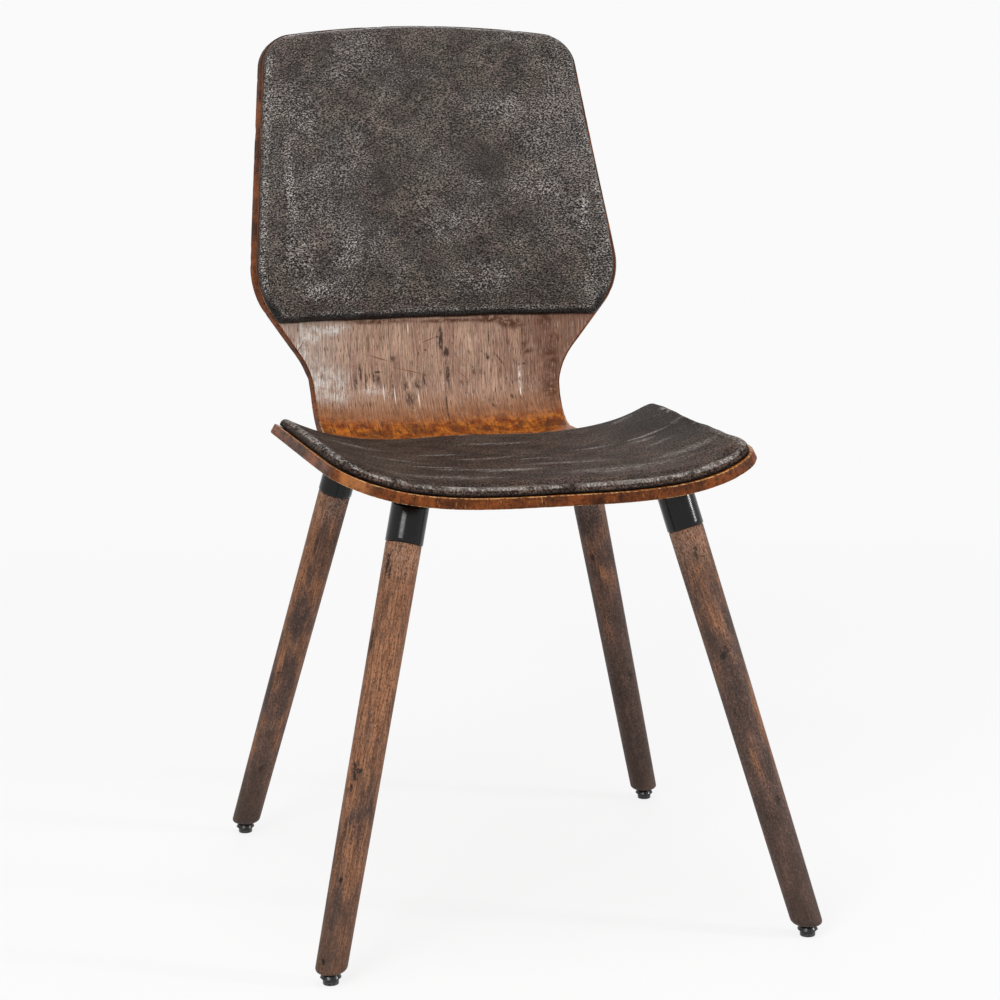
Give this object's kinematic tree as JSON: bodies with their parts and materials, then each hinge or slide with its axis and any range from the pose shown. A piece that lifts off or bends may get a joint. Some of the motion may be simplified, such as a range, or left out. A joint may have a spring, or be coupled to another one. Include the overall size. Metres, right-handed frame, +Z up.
{
  "type": "chair",
  "caption": "Worn armless side chair: moulded plywood seat and back in one sheet, glued leather pads, and round splayed wooden legs with steel ferrules and levelling feet.",
  "frame": {"origin": "on the floor, under the middle of the chair's width and depth", "axes": "+Z up, the front of the seat towards -Y, +X to the viewer's right when the front is faced"},
  "size_m": [0.4776, 0.622, 0.8558],
  "materials": {
    "plywood": "worn satin varnish",
    "leather": "worn, scuffed",
    "leg_wood": "worn, stained",
    "black_steel": "scuffed semi-gloss black",
    "zinc": "zinc plated",
    "black_plastic": "glossy black"
  },
  "bodies": {
    "chair": {"plywood_shell": "plywood", "seat_pad": "leather", "back_pad": "leather", "front_cross_bar": "black_steel", "back_cross_bar": "black_steel", "bar_screw_front_left": "zinc", "bar_screw_front_middle": "zinc", "bar_screw_front_right": "zinc", "bar_screw_back_left": "zinc", "bar_screw_back_middle": "zinc", "bar_screw_back_right": "zinc", "tee_nut_front_left": "zinc", "tee_nut_front_middle": "zinc", "tee_nut_front_right": "zinc", "tee_nut_back_left": "zinc", "tee_nut_back_middle": "zinc", "tee_nut_back_right": "zinc", "leg_front_left": "leg_wood", "leg_front_right": "leg_wood", "leg_back_left": "leg_wood", "leg_back_right": "leg_wood", "ferrule_front_left": "black_steel", "ferrule_front_right": "black_steel", "ferrule_back_left": "black_steel", "ferrule_back_right": "black_steel", "leg_stud_front_left": "zinc", "leg_stud_front_right": "zinc", "leg_stud_back_left": "zinc", "leg_stud_back_right": "zinc", "foot_insert_front_left": "zinc", "foot_insert_front_right": "zinc", "foot_insert_back_left": "zinc", "foot_insert_back_right": "zinc"},
    "foot_front_left": {"levelling_foot_front_left": "black_plastic", "foot_stem_front_left": "zinc"},
    "foot_front_right": {"levelling_foot_front_right": "black_plastic", "foot_stem_front_right": "zinc"},
    "foot_back_left": {"levelling_foot_back_left": "black_plastic", "foot_stem_back_left": "zinc"},
    "foot_back_right": {"levelling_foot_back_right": "black_plastic", "foot_stem_back_right": "zinc"}
  },
  "joints": [
    {"name": "foot_slide_front_left", "type": "slide", "parent": "chair", "child": "foot_front_left", "axis": [0, 0, -1], "range_m": [0, 0.008]},
    {"name": "foot_slide_front_right", "type": "slide", "parent": "chair", "child": "foot_front_right", "axis": [0, 0, -1], "range_m": [0, 0.008]},
    {"name": "foot_slide_back_left", "type": "slide", "parent": "chair", "child": "foot_back_left", "axis": [0, 0, -1], "range_m": [0, 0.008]},
    {"name": "foot_slide_back_right", "type": "slide", "parent": "chair", "child": "foot_back_right", "axis": [0, 0, -1], "range_m": [0, 0.008]}
  ]
}
